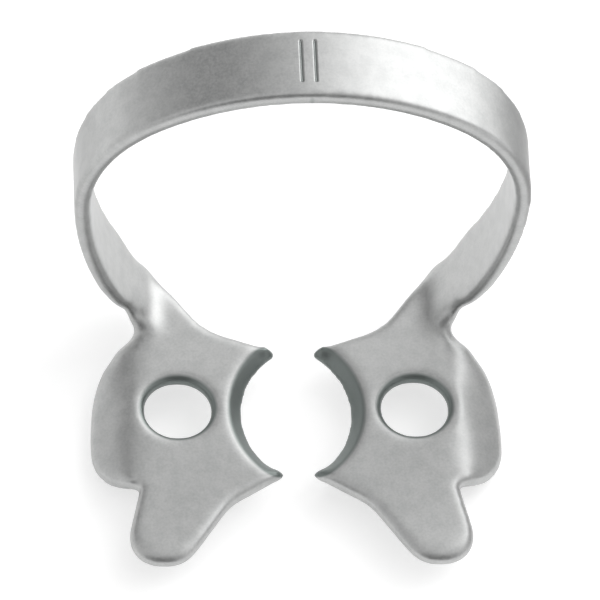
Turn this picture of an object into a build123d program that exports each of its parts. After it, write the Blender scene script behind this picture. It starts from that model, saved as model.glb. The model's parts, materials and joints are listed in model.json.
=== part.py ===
"""Rubber dam clamp: one piece of spring steel sheet, pierced, formed and tumbled.

Millimetres. The origin is where the axis of the gripped tooth meets the underside of the jaws.
+X runs across from jaw to jaw, +Y runs towards the bow and +Z runs up from the jaws.
The two halves mirror each other in X.
"""

import math
import os

from build123d import *

# Sheet
sheet = 0.75

# Bow, seen from the front
bow_height = 18.65
bow_width = 19.8
crown_radius = 11.5
crown_turn = 37.0
arm_lean = 30.0

# Bow, seen from the side
arm_front = 4.25
foot_depth = 3.5
waist_depth = 2.85
crown_depth = 3.4
waist_round = 25.0

# Bend from arm to jaw, tight in front and open behind
arm_land = 0.1
bend_front = 0.4
bend_rear = 1.6
neck_radius = 0.5
neck_depth = 0.35
arm_trim = 2.4

# Edge that grips the tooth
grip_radius = 3.55
grip_set_back = 1.3
grip_bevel = 0.75

# Jaw outline, seen from above
shoulder_x = 6.5
rear_hollow = (3.9, 4.15)
rear_prong = (0.85, 3.05)
front_prong = (0.3, -3.0)
front_hollow = (3.1, -4.7)
lobe_inner = (5.2, -7.85)
lobe_outer = (7.8, -7.8)
notch_place = (6.9, -3.85)
shoulder_round = 0.6
hollow_round = 2.5
lobe_round = 1.35
notch_round = 0.25
grip_round = 0.1

# Forceps hole
hole_radius = 1.55
hole_centre = (5.23, 0.1)
hole_round = 0.2

# Wing
fold_land = 0.05
wing_rear = (9.0, 0.9)
wing_shoulder = (8.35, 2.6)
neck_x = 7.2
wing_front = (9.0, -3.3)
wing_rear_round = 3.0
wing_shoulder_round = 1.5
wing_front_round = 2.3
wing_droop = 28.0
wing_bend = 1.5

overrun = 5.0
quarter = 90.0

# Places that follow from the sizes above
crown_share = math.sin(math.radians(crown_turn))
shoulder_radius = (bow_width / 2 - crown_radius * crown_share) / (1 - crown_share)
lean_share = math.tan(math.radians(arm_lean))
lean_sine = math.sin(math.radians(arm_lean))
lean_cosine = math.cos(math.radians(arm_lean))
crown_drop = crown_radius * (1 - math.cos(math.radians(crown_turn)))
shoulder_drop = shoulder_radius * math.cos(math.radians(crown_turn))
waist_height = bow_height - crown_drop - shoulder_drop
bend_turn = quarter - arm_lean
bend_share = math.tan(math.radians(bend_turn / 2))
arm_joint = (bend_rear + sheet) * bend_share * lean_cosine + arm_land
flank_radius = (waist_height - arm_joint) / lean_sine
joint_outer = (bow_width / 2 - flank_radius * (1 - lean_cosine), arm_joint)
arm_foot_x = joint_outer[0] - arm_joint * lean_share
joint_inner = (joint_outer[0] - sheet * lean_cosine, joint_outer[1] + sheet * lean_sine)
corner_outer = (arm_foot_x, 0)
corner_inner = (arm_foot_x + sheet * lean_share - sheet / lean_cosine, sheet)
foot_rear = arm_front + foot_depth
waist_rear = arm_front + waist_depth
crown_rear = arm_front + crown_depth
fold = hole_centre[0] + hole_radius + hole_round + fold_land


def bow_line(inset):
    """Half of the bow from its top to the straight of one arm, on the face that lies inset from the outer one."""
    crown = JernArc((0, bow_height - inset), (1, 0), crown_radius - inset, -crown_turn)
    shoulder = JernArc(crown @ 1, crown % 1, shoulder_radius - inset, crown_turn - quarter)
    flank = JernArc(shoulder @ 1, shoulder % 1, flank_radius - inset, -arm_lean)
    return flank @ 1


# Half of the bow, a bent strip that narrows towards the arm
with BuildPart() as bow:
    with BuildSketch(Plane.XZ.offset(-arm_front)):
        with BuildLine():
            outer_end = bow_line(0)
            inner_end = bow_line(sheet)
            Line((0, bow_height), (0, bow_height - sheet))
            Line(outer_end, inner_end)
        make_face()
    extrude(amount=-foot_depth)
    with BuildSketch(Plane.YZ):
        with BuildLine():
            Polyline(
                (foot_rear, joint_inner[1]),
                (waist_rear, waist_height),
                (crown_rear, bow_height),
                (crown_rear, bow_height + overrun),
                (foot_rear + overrun, bow_height + overrun),
                (foot_rear + overrun, joint_inner[1]),
                close=True,
            )
        make_face()
        fillet(vertices().sort_by_distance((waist_rear, waist_height))[0], waist_round)
    extrude(amount=bow_width, mode=Mode.SUBTRACT)

# Outline of one jaw with its wing and the foot of its arm, seen from above
with BuildSketch() as outline:
    with BuildLine():
        Polyline(
            (neck_x, arm_front),
            (bow_width / 2, arm_front),
            (bow_width / 2, foot_rear),
            (shoulder_x, foot_rear),
            rear_hollow,
            rear_prong,
            front_prong,
            front_hollow,
            lobe_inner,
            lobe_outer,
            notch_place,
            wing_front,
            wing_rear,
            wing_shoulder,
            close=True,
        )
    make_face()
    fillet(vertices().sort_by_distance((shoulder_x, foot_rear))[0], shoulder_round)
    fillet(vertices().sort_by_distance(rear_hollow)[0], hollow_round)
    fillet(vertices().sort_by_distance(front_hollow)[0], hollow_round)
    fillet(vertices().sort_by_distance(lobe_inner)[0], lobe_round)
    fillet(vertices().sort_by_distance(lobe_outer)[0], lobe_round)
    fillet(vertices().sort_by_distance(notch_place)[0], notch_round)
    fillet(vertices().sort_by_distance(wing_front)[0], wing_front_round)
    fillet(vertices().sort_by_distance(wing_rear)[0], wing_rear_round)
    fillet(vertices().sort_by_distance(wing_shoulder)[0], wing_shoulder_round)

# Foot of the arm: its bend opens from front to rear, like a fan
with BuildPart() as foot:
    for depth, radius in ((arm_front, bend_front), (foot_rear, bend_rear)):
        with BuildSketch(Plane.XZ.offset(-depth)):
            with BuildLine():
                Polyline(
                    joint_inner,
                    joint_outer,
                    corner_outer,
                    (0, 0),
                    (0, sheet),
                    corner_inner,
                    close=True,
                )
            make_face()
            fillet(vertices().sort_by_distance(corner_inner)[0], radius)
            fillet(vertices().sort_by_distance(corner_outer)[0], radius + sheet)
    loft(ruled=True)
    extrude(outline.sketch, amount=overrun, both=True, mode=Mode.INTERSECT)

# Jaw with its drooping wing, from the arm to the notch
with BuildPart() as jaw:
    with BuildSketch(Plane.XZ.offset(-arm_front)):
        with BuildLine():
            top_bend = JernArc((fold, sheet), (1, 0), wing_bend, -wing_droop)
            low_bend = JernArc((fold, 0), (1, 0), wing_bend - sheet, -wing_droop)
            top_edge = PolarLine(top_bend @ 1, overrun, direction=top_bend % 1)
            low_edge = PolarLine(low_bend @ 1, overrun, direction=low_bend % 1)
            Line(top_edge @ 1, low_edge @ 1)
            Polyline((fold, 0), (0, 0), (0, sheet), (fold, sheet))
        make_face()
    extrude(amount=arm_front - notch_place[1])
    extrude(outline.sketch, amount=overrun, both=True, mode=Mode.INTERSECT)

# Lobe in front of the notch, which stays flat
with BuildPart() as lobe:
    extrude(outline.sketch, amount=sheet)
    split(bisect_by=Plane.XZ.offset(-notch_place[1]), keep=Keep.TOP)

# One half of the clamp, pierced and with its gripping edge bevelled
neck_tilt = math.radians(bend_turn / 2)
neck_plane = Plane(
    origin=(neck_x + neck_radius, arm_front + neck_depth - neck_radius, sheet / 2),
    x_dir=(math.cos(neck_tilt), 0, math.sin(neck_tilt)),
    z_dir=(-math.sin(neck_tilt), 0, math.cos(neck_tilt)),
)
with BuildPart() as half:
    add(bow.part)
    add(foot.part)
    add(jaw.part)
    add(lobe.part)
    with BuildSketch(neck_plane):
        Circle(neck_radius)
    extrude(amount=overrun, both=True, mode=Mode.SUBTRACT)
    with BuildSketch(Plane.YZ):
        with BuildLine():
            trim = Polyline(
                (arm_front, sheet + arm_trim),
                (arm_front - overrun, sheet + arm_trim),
                (arm_front - overrun, sheet),
                (arm_front + neck_depth, sheet),
            )
            TangentArc(trim @ 0, trim @ 1, tangent=(0, -1))
        make_face()
    extrude(amount=bow_width / 2, mode=Mode.SUBTRACT)
    with BuildSketch():
        with Locations((-grip_set_back, 0)):
            Circle(grip_radius)
    extrude(amount=sheet, taper=-math.degrees(math.atan(grip_bevel / sheet)), mode=Mode.SUBTRACT)
    with BuildSketch():
        with Locations(hole_centre):
            Circle(hole_radius)
    extrude(amount=sheet, mode=Mode.SUBTRACT)
    hole_middle = (hole_centre[0], hole_centre[1], sheet / 2)
    fillet(edges().filter_by(GeomType.CIRCLE).sort_by_distance(hole_middle)[:2], hole_round)
    grip_low = edges().filter_by(GeomType.CIRCLE).sort_by_distance((grip_radius - grip_set_back, 0, 0))[0]
    grip_top_x = grip_radius - grip_set_back + grip_bevel
    grip_top = edges().filter_by(GeomType.CIRCLE).sort_by_distance((grip_top_x, 0, sheet))[0]
    fillet([grip_low, grip_top], grip_round)

# The whole clamp
with BuildPart() as clamp:
    add(half.part)
    mirror(about=Plane.YZ)

clamp.part.label = "clamp"
os.makedirs("parts", exist_ok=True)
export_step(clamp.part, "parts/clamp.step")
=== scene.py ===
"""Rubber dam clamp in tumbled spring steel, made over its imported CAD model.

The clamp stands on a plain pale floor, seen from the front and above under soft studio light.
Sizes in the classes are millimetres and degrees, and the Blender scene is in metres.
"""

import json
import logging
import math
from dataclasses import dataclass, field
from enum import Enum

import bmesh
import bpy
from mathutils import Matrix, Vector
from mathutils.kdtree import KDTree

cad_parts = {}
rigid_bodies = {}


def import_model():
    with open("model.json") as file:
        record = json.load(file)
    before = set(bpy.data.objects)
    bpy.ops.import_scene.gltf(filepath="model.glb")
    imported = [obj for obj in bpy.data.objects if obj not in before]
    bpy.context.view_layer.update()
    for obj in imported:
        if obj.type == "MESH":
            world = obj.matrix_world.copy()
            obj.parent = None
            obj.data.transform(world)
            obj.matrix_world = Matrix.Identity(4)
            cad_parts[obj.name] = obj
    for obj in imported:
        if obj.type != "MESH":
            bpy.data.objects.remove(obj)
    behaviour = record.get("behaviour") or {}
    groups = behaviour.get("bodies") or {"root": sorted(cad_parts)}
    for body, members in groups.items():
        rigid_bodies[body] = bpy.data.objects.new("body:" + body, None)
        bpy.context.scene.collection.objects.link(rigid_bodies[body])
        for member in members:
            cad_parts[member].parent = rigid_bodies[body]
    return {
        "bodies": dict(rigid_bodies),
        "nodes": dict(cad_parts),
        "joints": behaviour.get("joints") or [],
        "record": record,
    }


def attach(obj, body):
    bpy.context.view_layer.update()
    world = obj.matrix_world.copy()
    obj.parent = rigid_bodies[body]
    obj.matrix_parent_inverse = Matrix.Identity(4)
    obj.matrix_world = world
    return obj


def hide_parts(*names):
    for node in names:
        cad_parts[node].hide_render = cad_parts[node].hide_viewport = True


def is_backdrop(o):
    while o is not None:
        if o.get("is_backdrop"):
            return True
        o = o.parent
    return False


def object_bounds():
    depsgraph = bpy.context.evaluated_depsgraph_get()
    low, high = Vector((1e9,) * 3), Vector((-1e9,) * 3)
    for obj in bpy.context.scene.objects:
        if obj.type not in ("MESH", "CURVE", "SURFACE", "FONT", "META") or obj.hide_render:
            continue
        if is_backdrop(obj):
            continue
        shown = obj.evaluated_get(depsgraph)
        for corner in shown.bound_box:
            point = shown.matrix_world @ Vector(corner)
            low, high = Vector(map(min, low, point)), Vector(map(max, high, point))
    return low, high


LOG = logging.getLogger("clamp")
MM = 0.001
SHARE_STEPS = 20
SMOOTH_FACTOR = 0.5
BALL_SUBDIVISIONS = 3
Triple = tuple[float, float, float]
Pair = tuple[float, float]


class Change(Enum):
    """The modifiers that shape the clamp."""

    REMESH = "REMESH"
    DISPLACE = "DISPLACE"
    SMOOTH = "SMOOTH"


def place(point: Triple) -> Vector:
    """Turns a point in millimetres into a vector in metres."""
    return Vector(point) * MM


def activate(piece: bpy.types.Object) -> None:
    """Deselects everything, then selects one object and makes it the active one."""
    bpy.ops.object.select_all(action="DESELECT")
    piece.select_set(True)
    bpy.context.view_layer.objects.active = piece


def resize(piece: bpy.types.Object, factor: float) -> None:
    """Scales a mesh about the origin in edit mode, so that its object stays unscaled.

    Args:
        piece: the mesh object.
        factor: how many times its size.
    """
    activate(piece)
    bpy.ops.object.mode_set(mode="EDIT")
    bpy.ops.mesh.select_all(action="SELECT")
    bpy.ops.transform.resize(value=(factor, factor, factor), center_override=(0.0, 0.0, 0.0))
    bpy.ops.object.mode_set(mode="OBJECT")


def apply_modifier(piece: bpy.types.Object, kind: Change, **settings: object) -> None:
    """Adds one modifier, sets it and applies it.

    Args:
        piece: the mesh object.
        kind: which modifier.
        settings: its properties by name.
    """
    activate(piece)
    change = piece.modifiers.new(kind.value.lower(), kind.value)
    for name, value in settings.items():
        setattr(change, name, value)
    bpy.ops.object.modifier_apply(modifier=change.name)


@dataclass(frozen=True)
class TumbledSteel:
    """Tumbled spring steel: satin gloss with fine dull grain and faint clouds, with painted shade on the
    hole walls, the jaw bevels and the bottoms of the stamped strokes.
    """

    colour: Triple = (0.52, 0.524, 0.52)
    cloud_colour: Triple = (0.42, 0.426, 0.424)
    gloss: Pair = (0.33, 0.42)
    gloss_range: Pair = (0.3, 0.7)
    grain_mm: float = 0.11
    grain_range: Pair = (0.32, 0.66)
    grain_share: float = 0.55
    grain_height_mm: float = 0.0022
    grain_strength: float = 0.5
    cloud_mm: float = 0.7
    cloud_range: Pair = (0.36, 0.62)
    cloud_share: float = 0.45
    # Painted shade: a darker base colour for the hole walls, the jaw bevels and the stroke bottoms.
    painted_shade_colour: Triple = (0.2, 0.222, 0.215)
    sheet_mm: float = 0.75
    # Where the painted shade lies, and how strong it is along the strokes.
    hole_place: Pair = (5.23, 0.1)
    hole_reach: Pair = (1.64, 1.78)
    grip_place: Pair = (-1.3, 0.0)
    grip_reach: Pair = (3.58, 3.68)
    groove_lines: tuple[Triple, ...] = ((-0.4, 6.02, 1.02), (0.2, 6.02, 1.02))
    groove_reach: Pair = (0.03, 0.1)
    groove_shade_share: float = 0.75
    groove_heights: Pair = (18.2, 18.3)

    def material(self) -> bpy.types.Material:
        """Builds the steel's node material.

        Returns:
            The material, which reads Object coordinates only.
        """
        steel = bpy.data.materials.new("tumbled_steel")
        steel.use_nodes = True
        nodes, links = steel.node_tree.nodes, steel.node_tree.links
        surface = nodes["Principled BSDF"]
        surface.inputs["Metallic"].default_value = 1.0
        where = nodes.new("ShaderNodeTexCoord")
        grain = self.noise(steel, where, self.grain_mm, 2.0, 0.55)
        cloud = self.noise(steel, where, self.cloud_mm, 4.0, 0.6)
        spread = self.ramp(steel, self.cloud_range, (0.0, self.cloud_share))
        links.new(cloud.outputs["Fac"], spread.inputs["Value"])
        speckle = self.ramp(steel, self.grain_range, (0.0, self.grain_share))
        links.new(grain.outputs["Fac"], speckle.inputs["Value"])
        tint = nodes.new("ShaderNodeMix")
        tint.data_type = "RGBA"
        tint.inputs[6].default_value = (*self.cloud_colour, 1.0)
        tint.inputs[7].default_value = (*self.colour, 1.0)
        mixed = self.maths(steel, "ADD", spread.outputs["Result"], speckle.outputs["Result"])
        links.new(mixed, tint.inputs["Factor"])
        # Painted shade: the hole walls, the jaw bevels and the stroke bottoms take the darker base colour.
        shade_mix = nodes.new("ShaderNodeMix")
        shade_mix.data_type = "RGBA"
        shade_mix.inputs[7].default_value = (*self.painted_shade_colour, 1.0)
        links.new(tint.outputs[2], shade_mix.inputs[6])
        links.new(self.painted_shade_share(steel, where), shade_mix.inputs["Factor"])
        links.new(shade_mix.outputs[2], surface.inputs["Base Color"])
        dull = self.ramp(steel, self.gloss_range, self.gloss)
        links.new(grain.outputs["Fac"], dull.inputs["Value"])
        links.new(dull.outputs["Result"], surface.inputs["Roughness"])
        bump = nodes.new("ShaderNodeBump")
        bump.inputs["Strength"].default_value = self.grain_strength
        bump.inputs["Distance"].default_value = self.grain_height_mm * MM
        links.new(grain.outputs["Fac"], bump.inputs["Height"])
        links.new(bump.outputs["Normal"], surface.inputs["Normal"])
        return steel

    def painted_shade_share(self, steel: bpy.types.Material, where: bpy.types.Node) -> bpy.types.NodeSocket:
        """Finds where shade is painted: the walls of the holes, the bevels of the jaws and the bottoms of
        the stamped strokes.

        Args:
            steel: the material.
            where: its texture coordinate node.

        Returns:
            A socket that is largest there and 0 elsewhere.
        """
        height = self.maths(steel, "MINIMUM", self.split(steel, where, 2), self.sheet_mm * MM)
        hole = self.near(steel, where, self.hole_place, self.hole_reach, None)
        grip = self.near(steel, where, self.grip_place, self.grip_reach, height)
        shade_mask = self.maths(steel, "MAXIMUM", hole, grip)
        for line in self.groove_lines:
            shade_mask = self.maths(steel, "MAXIMUM", shade_mask, self.groove(steel, where, line))
        return shade_mask

    def groove(self, steel: bpy.types.Material, where: bpy.types.Node, line: Triple) -> bpy.types.NodeSocket:
        """Finds the bottom of one stamped stroke, where shade is painted.

        Args:
            steel: the material.
            where: its texture coordinate node.
            line: the stroke's X, the middle of its Y and half its length, in millimetres.

        Returns:
            A socket that is largest along the stroke and 0 elsewhere.
        """
        links = steel.node_tree.links
        aside = self.maths(steel, "SUBTRACT", self.split(steel, where, 0), line[0] * MM)
        ahead = self.maths(steel, "SUBTRACT", self.split(steel, where, 1), line[1] * MM)
        near, far = (reach * MM for reach in self.groove_reach)
        width = self.ramp(steel, (near, far), (self.groove_shade_share, 0.0))
        links.new(self.maths(steel, "ABSOLUTE", aside, 0.0), width.inputs["Value"])
        length = self.ramp(steel, (line[2] * MM, line[2] * MM + far), (1.0, 0.0))
        links.new(self.maths(steel, "ABSOLUTE", ahead, 0.0), length.inputs["Value"])
        top = self.ramp(steel, (self.groove_heights[0] * MM, self.groove_heights[1] * MM), (0.0, 1.0))
        links.new(self.split(steel, where, 2), top.inputs["Value"])
        line_share = self.maths(steel, "MULTIPLY", width.outputs["Result"], length.outputs["Result"])
        return self.maths(steel, "MULTIPLY", line_share, top.outputs["Result"])

    def near(
        self,
        steel: bpy.types.Material,
        where: bpy.types.Node,
        place_mm: Pair,
        reach: Pair,
        widening: bpy.types.NodeSocket | None,
    ) -> bpy.types.NodeSocket:
        """Finds what lies inside an upright circle on either side of the clamp.

        Args:
            steel: the material.
            where: its texture coordinate node.
            place_mm: the circle's centre on the +X side.
            reach: the radii at which the share is 1 and 0.
            widening: a length in metres by which the circle is wider, or None.

        Returns:
            A socket with the share.
        """
        side = self.maths(steel, "ABSOLUTE", self.split(steel, where, 0), 0.0)
        across = self.maths(steel, "SUBTRACT", side, place_mm[0] * MM)
        along = self.maths(steel, "SUBTRACT", self.split(steel, where, 1), place_mm[1] * MM)
        squares = self.maths(
            steel, "ADD", self.maths(steel, "POWER", across, 2.0), self.maths(steel, "POWER", along, 2.0)
        )
        away = self.maths(steel, "SQRT", squares, 0.0)
        if widening is not None:
            away = self.maths(steel, "SUBTRACT", away, widening)
        share = self.ramp(steel, (reach[0] * MM, reach[1] * MM), (1.0, 0.0))
        steel.node_tree.links.new(away, share.inputs["Value"])
        return share.outputs["Result"]

    @staticmethod
    def split(steel: bpy.types.Material, where: bpy.types.Node, axis: int) -> bpy.types.NodeSocket:
        """Gives one Object coordinate, by its number."""
        node = steel.node_tree.nodes.new("ShaderNodeSeparateXYZ")
        steel.node_tree.links.new(where.outputs["Object"], node.inputs[0])
        return node.outputs[axis]

    @staticmethod
    def maths(
        steel: bpy.types.Material,
        operation: str,
        first: bpy.types.NodeSocket,
        second: bpy.types.NodeSocket | float,
    ) -> bpy.types.NodeSocket:
        """Adds one sum.

        Args:
            steel: the material.
            operation: the math node's operation.
            first: what goes in first.
            second: what goes in second, a socket or a number.

        Returns:
            The result's socket.
        """
        node = steel.node_tree.nodes.new("ShaderNodeMath")
        node.operation = operation
        steel.node_tree.links.new(first, node.inputs[0])
        if isinstance(second, float):
            node.inputs[1].default_value = second
        else:
            steel.node_tree.links.new(second, node.inputs[1])
        return node.outputs[0]

    @staticmethod
    def noise(
        steel: bpy.types.Material, where: bpy.types.Node, size: float, detail: float, rough: float
    ) -> bpy.types.Node:
        """Adds a noise texture on Object coordinates.

        Args:
            steel: the material.
            where: its texture coordinate node.
            size: the size of one grain in millimetres.
            detail: how many finer layers it has.
            rough: how strong those layers are.

        Returns:
            The noise node.
        """
        grain = steel.node_tree.nodes.new("ShaderNodeTexNoise")
        grain.inputs["Scale"].default_value = 1.0 / (size * MM)
        grain.inputs["Detail"].default_value = detail
        grain.inputs["Roughness"].default_value = rough
        steel.node_tree.links.new(where.outputs["Object"], grain.inputs["Vector"])
        return grain

    @staticmethod
    def ramp(steel: bpy.types.Material, source: Pair, target: Pair) -> bpy.types.Node:
        """Adds a node that maps one range of values to another.

        Args:
            steel: the material.
            source: the range that comes in.
            target: the range that goes out.

        Returns:
            The map range node.
        """
        node = steel.node_tree.nodes.new("ShaderNodeMapRange")
        node.inputs["From Min"].default_value, node.inputs["From Max"].default_value = source
        node.inputs["To Min"].default_value, node.inputs["To Max"].default_value = target
        return node


@dataclass(frozen=True)
class WhitePaper:
    """White paper of the floor: it takes the shadow, and shows white where it is fully lit."""

    tone: float = 0.74
    glow: float = 0.5

    def material(self) -> bpy.types.Material:
        """Builds the paper.

        Returns:
            A dull material with a part of its white given to camera, glossy and transmission rays.
        """
        paper = bpy.data.materials.new("white_paper")
        paper.use_nodes = True
        nodes, links = paper.node_tree.nodes, paper.node_tree.links
        surface = nodes["Principled BSDF"]
        surface.inputs["Base Color"].default_value = (self.tone, self.tone, self.tone, 1.0)
        surface.inputs["Roughness"].default_value = 1.0
        surface.inputs["Specular IOR Level"].default_value = 0.0
        glow = nodes.new("ShaderNodeEmission")
        glow.inputs["Strength"].default_value = self.glow
        path = nodes.new("ShaderNodeLightPath")
        both = nodes.new("ShaderNodeAddShader")
        choice = nodes.new("ShaderNodeMixShader")
        seen = path.outputs["Is Camera Ray"]
        for kind in ("Is Glossy Ray", "Is Transmission Ray"):
            either = nodes.new("ShaderNodeMath")
            either.operation = "MAXIMUM"
            links.new(seen, either.inputs[0])
            links.new(path.outputs[kind], either.inputs[1])
            seen = either.outputs[0]
        links.new(surface.outputs[0], both.inputs[0])
        links.new(glow.outputs[0], both.inputs[1])
        links.new(seen, choice.inputs["Fac"])
        links.new(surface.outputs[0], choice.inputs[1])
        links.new(both.outputs[0], choice.inputs[2])
        links.new(choice.outputs[0], nodes["Material Output"].inputs["Surface"])
        return paper


@dataclass(frozen=True)
class CardTone:
    """One even grey of a studio card, which shows in the steel."""

    name: str
    strength: float

    def material(self) -> bpy.types.Material:
        """Builds the card's material.

        Returns:
            An even glow of the card's strength.
        """
        card = bpy.data.materials.new(self.name)
        card.use_nodes = True
        nodes, links = card.node_tree.nodes, card.node_tree.links
        glow = nodes.new("ShaderNodeEmission")
        glow.inputs["Color"].default_value = (1.0, 1.0, 1.0, 1.0)
        glow.inputs["Strength"].default_value = self.strength
        links.new(glow.outputs[0], nodes["Material Output"].inputs["Surface"])
        return card


@dataclass(frozen=True)
class Ring:
    """A level arc on the +X side that stays crisp, at one or more heights."""

    centre: Pair
    radius: float
    heights: tuple[float, ...]
    turn: float

    def points(self) -> list[Vector]:
        """Gives points a tenth of a millimetre apart along the arc, on both sides of the clamp.

        Returns:
            The points in millimetres.
        """
        steps = max(1, round(math.radians(self.turn) * self.radius / 0.1))
        found = []
        for height in self.heights:
            for step in range(steps + 1):
                angle = math.radians(self.turn) * (step / steps - 0.5)
                across = self.centre[0] + self.radius * math.cos(angle)
                along = self.centre[1] + self.radius * math.sin(angle)
                found += [Vector((side * across, along, height)) for side in (-1.0, 1.0)]
        return found


@dataclass(frozen=True)
class Spot:
    """A ball on each side of the clamp in which its form is softened further."""

    centre: Triple
    radius: float
    passes: int

    def share(self, point: Vector) -> float:
        """Gives the ball's hold on a point in millimetres, from 0 at its skin to 1 at its centre."""
        mirrored = Vector((abs(point.x), point.y, point.z))
        away = (mirrored - Vector(self.centre)).length / self.radius
        return max(0.0, 1.0 - away * away)


@dataclass(frozen=True)
class Filler:
    """A row of balls on each side of the clamp, joined to it before its form is made again."""

    first: Triple
    last: Triple
    radius: float
    count: int

    def lay(self) -> list[bpy.types.Object]:
        """Makes the balls, in millimetres.

        Returns:
            The new mesh objects.
        """
        balls = []
        for side in (-1.0, 1.0):
            for step in range(self.count):
                spot = Vector(self.first).lerp(Vector(self.last), step / (self.count - 1))
                spot.x *= side
                bpy.ops.object.select_all(action="DESELECT")
                bpy.ops.mesh.primitive_ico_sphere_add(
                    subdivisions=BALL_SUBDIVISIONS, radius=self.radius, location=spot
                )
                balls.append(bpy.context.active_object)
        return balls


@dataclass(frozen=True)
class Pull:
    """A ball on each side of the clamp whose middle is moved a little, most at its centre."""

    centre: Triple
    radius: float
    shift: Triple

    def moved(self, point: Vector) -> Vector:
        """Gives where a point in millimetres goes."""
        side = Vector((1.0 if point.x > 0.0 else -1.0, 1.0, 1.0))
        away = (point - Vector(self.centre) * side).length / self.radius
        share = max(0.0, 1.0 - away * away) ** 2
        return point + Vector(self.shift) * side * share


@dataclass
class Clamp:
    """The clamp: the CAD form with every edge rounded by tumbling, and two plain stamped strokes."""

    node: str = "clamp"
    slot: str = "steel"
    merge_mm: float = 0.002
    voxel_mm: float = 0.097
    edge_passes: int = 38
    rim_growth_mm: float = 0.08
    arm_front_mm: float = 4.0
    arm_rim_normal: float = 0.55
    jaw_rim_normal: float = 0.7
    rim_fade: float = 0.2
    pinned_rings: tuple[Ring, ...] = (
        Ring((5.23, 0.1), 1.56, (0.1, 0.4, 0.65), 360.0),
        Ring((5.23, 0.1), 1.72, (0.0, 0.75), 360.0),
        Ring((-1.3, 0.0), 3.55, (0.0,), 130.0),
        Ring((-1.3, 0.0), 4.3, (0.75,), 130.0),
    )
    face_passes: int = 330
    face_reach: Pair = (0.3, 0.75)
    sharp_degrees: float = 35.0
    spots: tuple[Spot, ...] = (
        Spot((7.3, 4.3, 0.9), 1.3, 87),
        Spot((7.9, 4.4, 1.9), 1.9, 87),
        Spot((8.4, 2.4, 0.0), 2.0, 126),
        Spot((9.0, 0.9, -0.4), 1.6, 95),
        Spot((6.6, 7.6, 1.1), 2.0, 126),
        Spot((6.95, 4.35, 1.1), 1.5, 190),
        Spot((6.1, -7.7, 0.95), 2.1, 71),
        Spot((1.1, 3.15, 0.4), 0.8, 19),
        Spot((0.95, -3.3, 0.4), 0.7, 16),
    )
    pulls: tuple[Pull, ...] = (
        Pull((7.0, 7.7, 1.7), 2.2, (0.0, -0.2, 0.0)),
        Pull((0.8, -3.3, 0.3), 1.2, (-0.06, 0.08, 0.0)),
        Pull((8.7, 1.9, -0.2), 1.3, (0.08, 0.06, 0.0)),
    )
    fillers: tuple[Filler, ...] = (
        Filler((6.45, 4.55, 0.7), (7.15, 4.55, 1.0), 0.42, 6),
        Filler((1.08, 3.1, 0.22), (1.3, 3.16, 0.48), 0.25, 5),
        Filler((0.95, -3.27, 0.2), (1.1, -3.35, 0.46), 0.23, 5),
    )
    stroke_lines: tuple[tuple[Triple, Triple], ...] = (
        ((-0.4, 5.0, 18.65), (-0.4, 7.05, 18.65)),
        ((0.2, 5.0, 18.65), (0.2, 7.05, 18.65)),
    )
    stroke_half_width_mm: float = 0.1
    stroke_depth_mm: float = 0.07
    stroke_margin: float = 3.0
    stroke_cuts: int = 3
    top_normal: float = 0.5
    finish: TumbledSteel = field(default_factory=TumbledSteel)

    def rounded_body(self, source: bpy.types.Object) -> bpy.types.Object:
        """Copies the CAD form and rounds all its edges.

        Args:
            source: the CAD node's object.

        Returns:
            The rounded copy.
        """
        body = bpy.data.objects.new("clamp_body", source.data.copy())
        bpy.context.scene.collection.objects.link(body)
        activate(body)
        bpy.ops.object.mode_set(mode="EDIT")
        bpy.ops.mesh.select_all(action="SELECT")
        bpy.ops.mesh.remove_doubles(threshold=self.merge_mm * MM)
        bpy.ops.object.mode_set(mode="OBJECT")
        resize(body, 1.0 / MM)
        rims = self.rims(body)
        self.fill(body)
        apply_modifier(body, Change.REMESH, mode="VOXEL", voxel_size=self.voxel_mm, use_smooth_shade=True)
        self.grow_rims(body)
        near, far = self.face_reach
        shares = [(rims.find(vertex.co)[2] - near) / (far - near) for vertex in body.data.vertices]
        self.soften(body, shares, self.face_passes)
        for spot in self.spots:
            self.soften(body, [spot.share(vertex.co) for vertex in body.data.vertices], spot.passes)
        self.form(body)
        self.soften(body, [1.0] * len(body.data.vertices), self.edge_passes)
        return body

    def fill(self, body: bpy.types.Object) -> None:
        """Fills the corner where each arm's front edge meets its jaw, and blunts the prongs.

        Args:
            body: the clamp, in millimetres, into which the fillers are joined.
        """
        balls = [ball for filler in self.fillers for ball in filler.lay()]
        activate(body)
        for ball in balls:
            ball.select_set(True)
        bpy.ops.object.join()

    def form(self, body: bpy.types.Object) -> None:
        """Settles the rims where the CAD form is a little off the photo.

        Args:
            body: the clamp, in millimetres.
        """
        for vertex in body.data.vertices:
            point = vertex.co.copy()
            for pull in self.pulls:
                point = pull.moved(point)
            vertex.co = point

    def rims(self, body: bpy.types.Object) -> KDTree:
        """Finds the sharp rims of the sheet.

        Args:
            body: the merged CAD form, in millimetres.

        Returns:
            A tree of points along them.
        """
        form = bmesh.new()
        form.from_mesh(body.data)
        points = []
        for edge in form.edges:
            if len(edge.link_faces) == 2 and math.degrees(edge.calc_face_angle()) > self.sharp_degrees:
                steps = max(1, math.ceil(edge.calc_length() / self.voxel_mm))
                first, last = edge.verts[0].co, edge.verts[1].co
                points += [first.lerp(last, step / steps) for step in range(steps + 1)]
        form.free()
        for ring in self.pinned_rings:
            points += ring.points()
        tree = KDTree(len(points))
        for number, point in enumerate(points):
            tree.insert(point, number)
        tree.balance()
        return tree

    def grow_rims(self, body: bpy.types.Object) -> None:
        """Moves the rims of the sheet outwards by what their rounding takes off again.

        Args:
            body: the remeshed clamp, in millimetres.
        """
        shares = []
        for vertex in body.data.vertices:
            if vertex.co.y > self.arm_front_mm:
                shares.append((abs(vertex.normal.y) - self.arm_rim_normal) / self.rim_fade)
            else:
                shares.append((self.jaw_rim_normal - abs(vertex.normal.z)) / self.rim_fade)
        self.displace(body, shares, self.rim_growth_mm)

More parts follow.
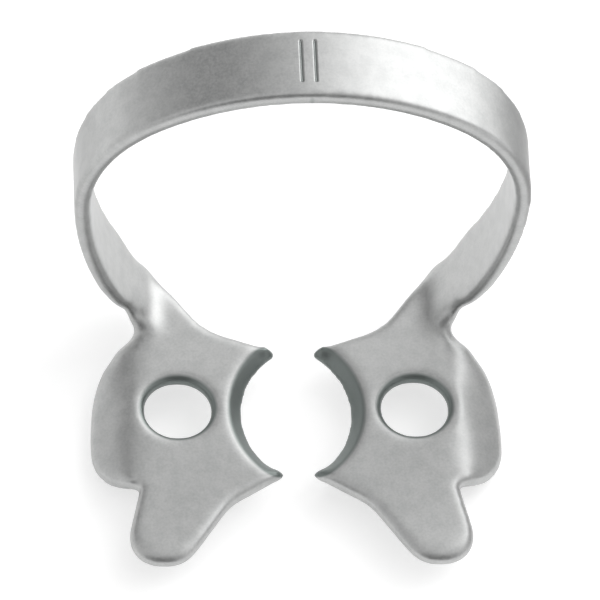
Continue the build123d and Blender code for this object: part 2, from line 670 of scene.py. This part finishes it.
    def displace(self, body: bpy.types.Object, shares: list[float], distance_mm: float) -> None:
        """Moves a part of the mesh along its normals.

        Args:
            body: the mesh object.
            shares: how much of the distance each vertex moves, from 0 to 1.
            distance_mm: the distance outwards, or inwards where it is negative.
        """
        apply_modifier(
            body,
            Change.DISPLACE,
            strength=distance_mm,
            mid_level=0.0,
            direction="NORMAL",
            vertex_group=self.weigh(body, shares),
        )
        body.vertex_groups.clear()

    @staticmethod
    def weigh(body: bpy.types.Object, shares: list[float]) -> str:
        """Adds a vertex group with a share for each vertex.

        Args:
            body: the mesh object.
            shares: the shares in the order of the vertices, cut off below 0 and above 1.

        Returns:
            The group's name.
        """
        group = body.vertex_groups.new(name="shares")
        found: dict[int, list[int]] = {}
        for number, share in enumerate(shares):
            found.setdefault(round(min(1.0, max(0.0, share)) * SHARE_STEPS), []).append(number)
        for step, chosen in found.items():
            if step:
                group.add(chosen, step / SHARE_STEPS, "REPLACE")
        return group.name

    def soften(self, body: bpy.types.Object, shares: list[float], passes: int) -> None:
        """Smooths a part of the mesh.

        Args:
            body: the mesh object.
            shares: how strongly each vertex is smoothed, from 0 to 1.
            passes: how many times.
        """
        group = self.weigh(body, shares)
        apply_modifier(body, Change.SMOOTH, factor=SMOOTH_FACTOR, iterations=passes, vertex_group=group)
        body.vertex_groups.clear()

    def stamp(self, body: bpy.types.Object) -> None:
        """Presses the plain strokes into the top of the bow.

        Args:
            body: the rounded clamp, in millimetres.
        """
        reach = self.stroke_half_width_mm * self.stroke_margin
        lines = [(Vector(first), Vector(last)) for first, last in self.stroke_lines]
        activate(body)
        bpy.ops.object.mode_set(mode="EDIT")
        bpy.ops.mesh.select_all(action="DESELECT")
        bpy.ops.mesh.select_mode(type="FACE")
        form = bmesh.from_edit_mesh(body.data)
        for face in form.faces:
            middle = face.calc_center_median()
            near = any(self.distance(middle, line) < reach for line in lines)
            face.select = near and face.normal.z > self.top_normal
        bmesh.update_edit_mesh(body.data)
        bpy.ops.mesh.subdivide(number_cuts=self.stroke_cuts)
        bpy.ops.object.mode_set(mode="OBJECT")
        shares = []
        for vertex in body.data.vertices:
            away = 1.0
            if vertex.normal.z > self.top_normal:
                nearest = min(self.distance(vertex.co, line) for line in lines)
                away = min(1.0, nearest / self.stroke_half_width_mm)
            shares.append((1.0 - away * away) ** 2)
        self.displace(body, shares, -self.stroke_depth_mm)

    @staticmethod
    def distance(point: Vector, line: tuple[Vector, Vector]) -> float:
        """Gives how far a point is from a stroke's line, seen from above.

        Args:
            point: the point.
            line: the two ends of the line.

        Returns:
            The distance across X and Y.
        """
        start, run = line[0].xy, line[1].xy - line[0].xy
        share = max(0.0, min(1.0, (point.xy - start).dot(run) / run.length_squared))
        return (point.xy - start - run * share).length

    def build(self, frame: dict) -> bpy.types.Object:
        """Builds the rounded, stamped and dressed clamp.


        Returns:
            The finished piece.
        """
        body = self.rounded_body(frame["nodes"][self.node])
        self.stamp(body)
        resize(body, MM)
        body.data.materials.clear()
        body.data.materials.append(self.finish.material())
        activate(body)
        bpy.ops.object.shade_smooth()
        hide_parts(self.node)
        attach(body, "root")
        return body


@dataclass(frozen=True)
class SoftPatch:
    """A part of the room's walls that is lighter or darker than the rest, with a wide soft border."""

    towards: Triple
    inner: float
    outer: float
    tone: float


@dataclass(frozen=True)
class SoftLamp:
    """A soft rectangular lamp, its face so many times as bright as white."""

    name: str
    spot: Triple
    size: Pair
    radiance: float
    aim: Triple

    def hang(self) -> None:
        """Hangs the lamp, unseen by the camera and by the steel's gloss."""
        light = bpy.data.lights.new(self.name, "AREA")
        light.shape = "RECTANGLE"
        light.size = self.size[0] * MM
        light.size_y = self.size[1] * MM
        light.energy = self.radiance * math.pi * light.size * light.size_y
        lamp = bpy.data.objects.new(self.name, light)
        lamp.location = place(self.spot)
        lamp.rotation_euler = (place(self.aim) - lamp.location).to_track_quat("-Z", "Y").to_euler()
        lamp.visible_camera = False
        lamp.visible_glossy = False
        bpy.context.scene.collection.objects.link(lamp)


@dataclass(frozen=True)
class Card:
    """A grey card beside the clamp, which only the steel sees."""

    tone: CardTone
    spot: Triple
    size: Pair
    aim: Triple

    def stand(self) -> None:
        """Stands the card in its place, facing its aim."""
        turn = (place(self.aim) - place(self.spot)).to_track_quat("Z", "Y").to_euler()
        bpy.ops.object.select_all(action="DESELECT")
        bpy.ops.mesh.primitive_plane_add(size=MM, location=place(self.spot), rotation=turn)
        sheet = bpy.context.active_object
        sheet.name = self.tone.name
        sheet.scale = (self.size[0], self.size[1], 1.0)
        sheet.data.materials.append(self.tone.material())
        sheet.visible_camera = False
        sheet.visible_diffuse = False
        sheet.visible_shadow = False
        sheet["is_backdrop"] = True


@dataclass
class Studio:
    """Camera, floor, lamp, cards and walls around the clamp."""

    pivot: Triple = (0.0, 0.25, 0.8)
    middle: Pair = (0.154, 4.515)
    azimuth: float = 6.3
    elevation: float = 56.4
    roll: float = 4.9
    distance: float = 300.0
    picture_width: float = 26.43
    sensor_width: float = 36.0
    clip: Pair = (0.01, 10.0)
    floor_half: float = 500.0
    key: SoftLamp = SoftLamp("key", (170.0, 150.0, 120.0), (200.0, 190.0), 0.8, (0.0, 4.0, 5.0))
    cards: tuple[Card, ...] = (
        Card(CardTone("right_card", 0.6), (17.0, 6.0, 5.0), (26.0, 14.0), (0.0, 6.0, 5.0)),
        Card(CardTone("left_card", 0.92), (-17.0, 6.0, 4.0), (26.0, 10.0), (0.0, 6.0, 4.0)),
    )
    world_tone: float = 0.85
    patches: tuple[SoftPatch, ...] = (
        SoftPatch((0.66, 0.55, 0.5), 12.0, 46.0, 2.5),
        SoftPatch((-0.52, 0.55, 0.65), 4.0, 38.0, 0.32),
        SoftPatch((-0.05, -0.75, 0.65), 18.0, 52.0, 0.26),
    )

    def camera(self) -> None:
        """Places the camera in front of the clamp, above it and a little to its left."""
        turn, rise, roll = (math.radians(angle) for angle in (self.azimuth, self.elevation, self.roll))
        gaze = Vector((math.sin(turn) * math.cos(rise), math.cos(turn) * math.cos(rise), -math.sin(rise)))
        level = Vector((math.cos(turn), -math.sin(turn), 0.0))
        top = level.cross(gaze)
        right = level * math.cos(roll) + top * math.sin(roll)
        up = top * math.cos(roll) - level * math.sin(roll)
        lens = bpy.data.cameras.new("camera")
        lens.sensor_width = self.sensor_width
        lens.lens = self.sensor_width * self.distance / self.picture_width
        lens.clip_start, lens.clip_end = self.clip
        eye = bpy.data.objects.new("camera", lens)
        aim = Vector(self.pivot) + right * self.middle[0] + up * self.middle[1]
        turned = Matrix((right, up, -gaze)).transposed().to_4x4()
        eye.matrix_world = Matrix.Translation((aim - gaze * self.distance) * MM) @ turned
        bpy.context.scene.collection.objects.link(eye)
        bpy.context.scene.camera = eye

    def floor(self, height: float) -> None:
        """Lays the white paper floor under the clamp.

        Args:
            height: the floor's height in metres.
        """
        bpy.ops.object.select_all(action="DESELECT")
        bpy.ops.mesh.primitive_plane_add(size=2 * self.floor_half * MM, location=(0, 0, height))
        ground = bpy.context.active_object
        ground.name = "floor"
        ground.data.materials.append(WhitePaper().material())
        ground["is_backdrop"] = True

    def world(self) -> None:
        """Fills the room with even pale light, lighter and darker where its soft patches are."""
        sky = bpy.data.worlds.new("studio")
        bpy.context.scene.world = sky
        sky.use_nodes = True
        nodes, links = sky.node_tree.nodes, sky.node_tree.links
        where = nodes.new("ShaderNodeTexCoord")
        tone = nodes.new("ShaderNodeValue").outputs[0]
        tone.default_value = self.world_tone
        for patch in self.patches:
            facing = nodes.new("ShaderNodeVectorMath")
            facing.operation = "DOT_PRODUCT"
            facing.inputs[1].default_value = Vector(patch.towards).normalized()
            links.new(where.outputs["Generated"], facing.inputs[0])
            angle = nodes.new("ShaderNodeMath")
            angle.operation = "ARCCOSINE"
            links.new(facing.outputs["Value"], angle.inputs[0])
            share = nodes.new("ShaderNodeMapRange")
            share.interpolation_type = "SMOOTHSTEP"
            share.inputs["From Min"].default_value = math.radians(patch.inner)
            share.inputs["From Max"].default_value = math.radians(patch.outer)
            share.inputs["To Min"].default_value = 1.0
            share.inputs["To Max"].default_value = 0.0
            links.new(angle.outputs[0], share.inputs["Value"])
            blend = nodes.new("ShaderNodeMix")
            blend.data_type = "FLOAT"
            blend.inputs[3].default_value = patch.tone
            links.new(share.outputs["Result"], blend.inputs["Factor"])
            links.new(tone, blend.inputs[2])
            tone = blend.outputs[0]
        links.new(tone, nodes["Background"].inputs["Strength"])
        nodes["Background"].inputs["Color"].default_value = (1.0, 1.0, 1.0, 1.0)

    def build(self, floor_height: float) -> None:
        """Builds the whole studio.

        Args:
            floor_height: the floor's height in metres.
        """
        self.camera()
        self.floor(floor_height)
        self.world()
        self.key.hang()
        for card in self.cards:
            card.stand()


def main() -> None:
    logging.basicConfig(level=logging.INFO, format="%(name)s: %(message)s")
    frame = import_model()
    cad_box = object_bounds()
    clamp = Clamp().build(frame)
    LOG.info("%s: %d faces", clamp.name, len(clamp.data.polygons))
    Studio().build(cad_box[0][2])
    bpy.context.scene.view_settings.view_transform = "Standard"


if __name__ == "__main__":
    main()
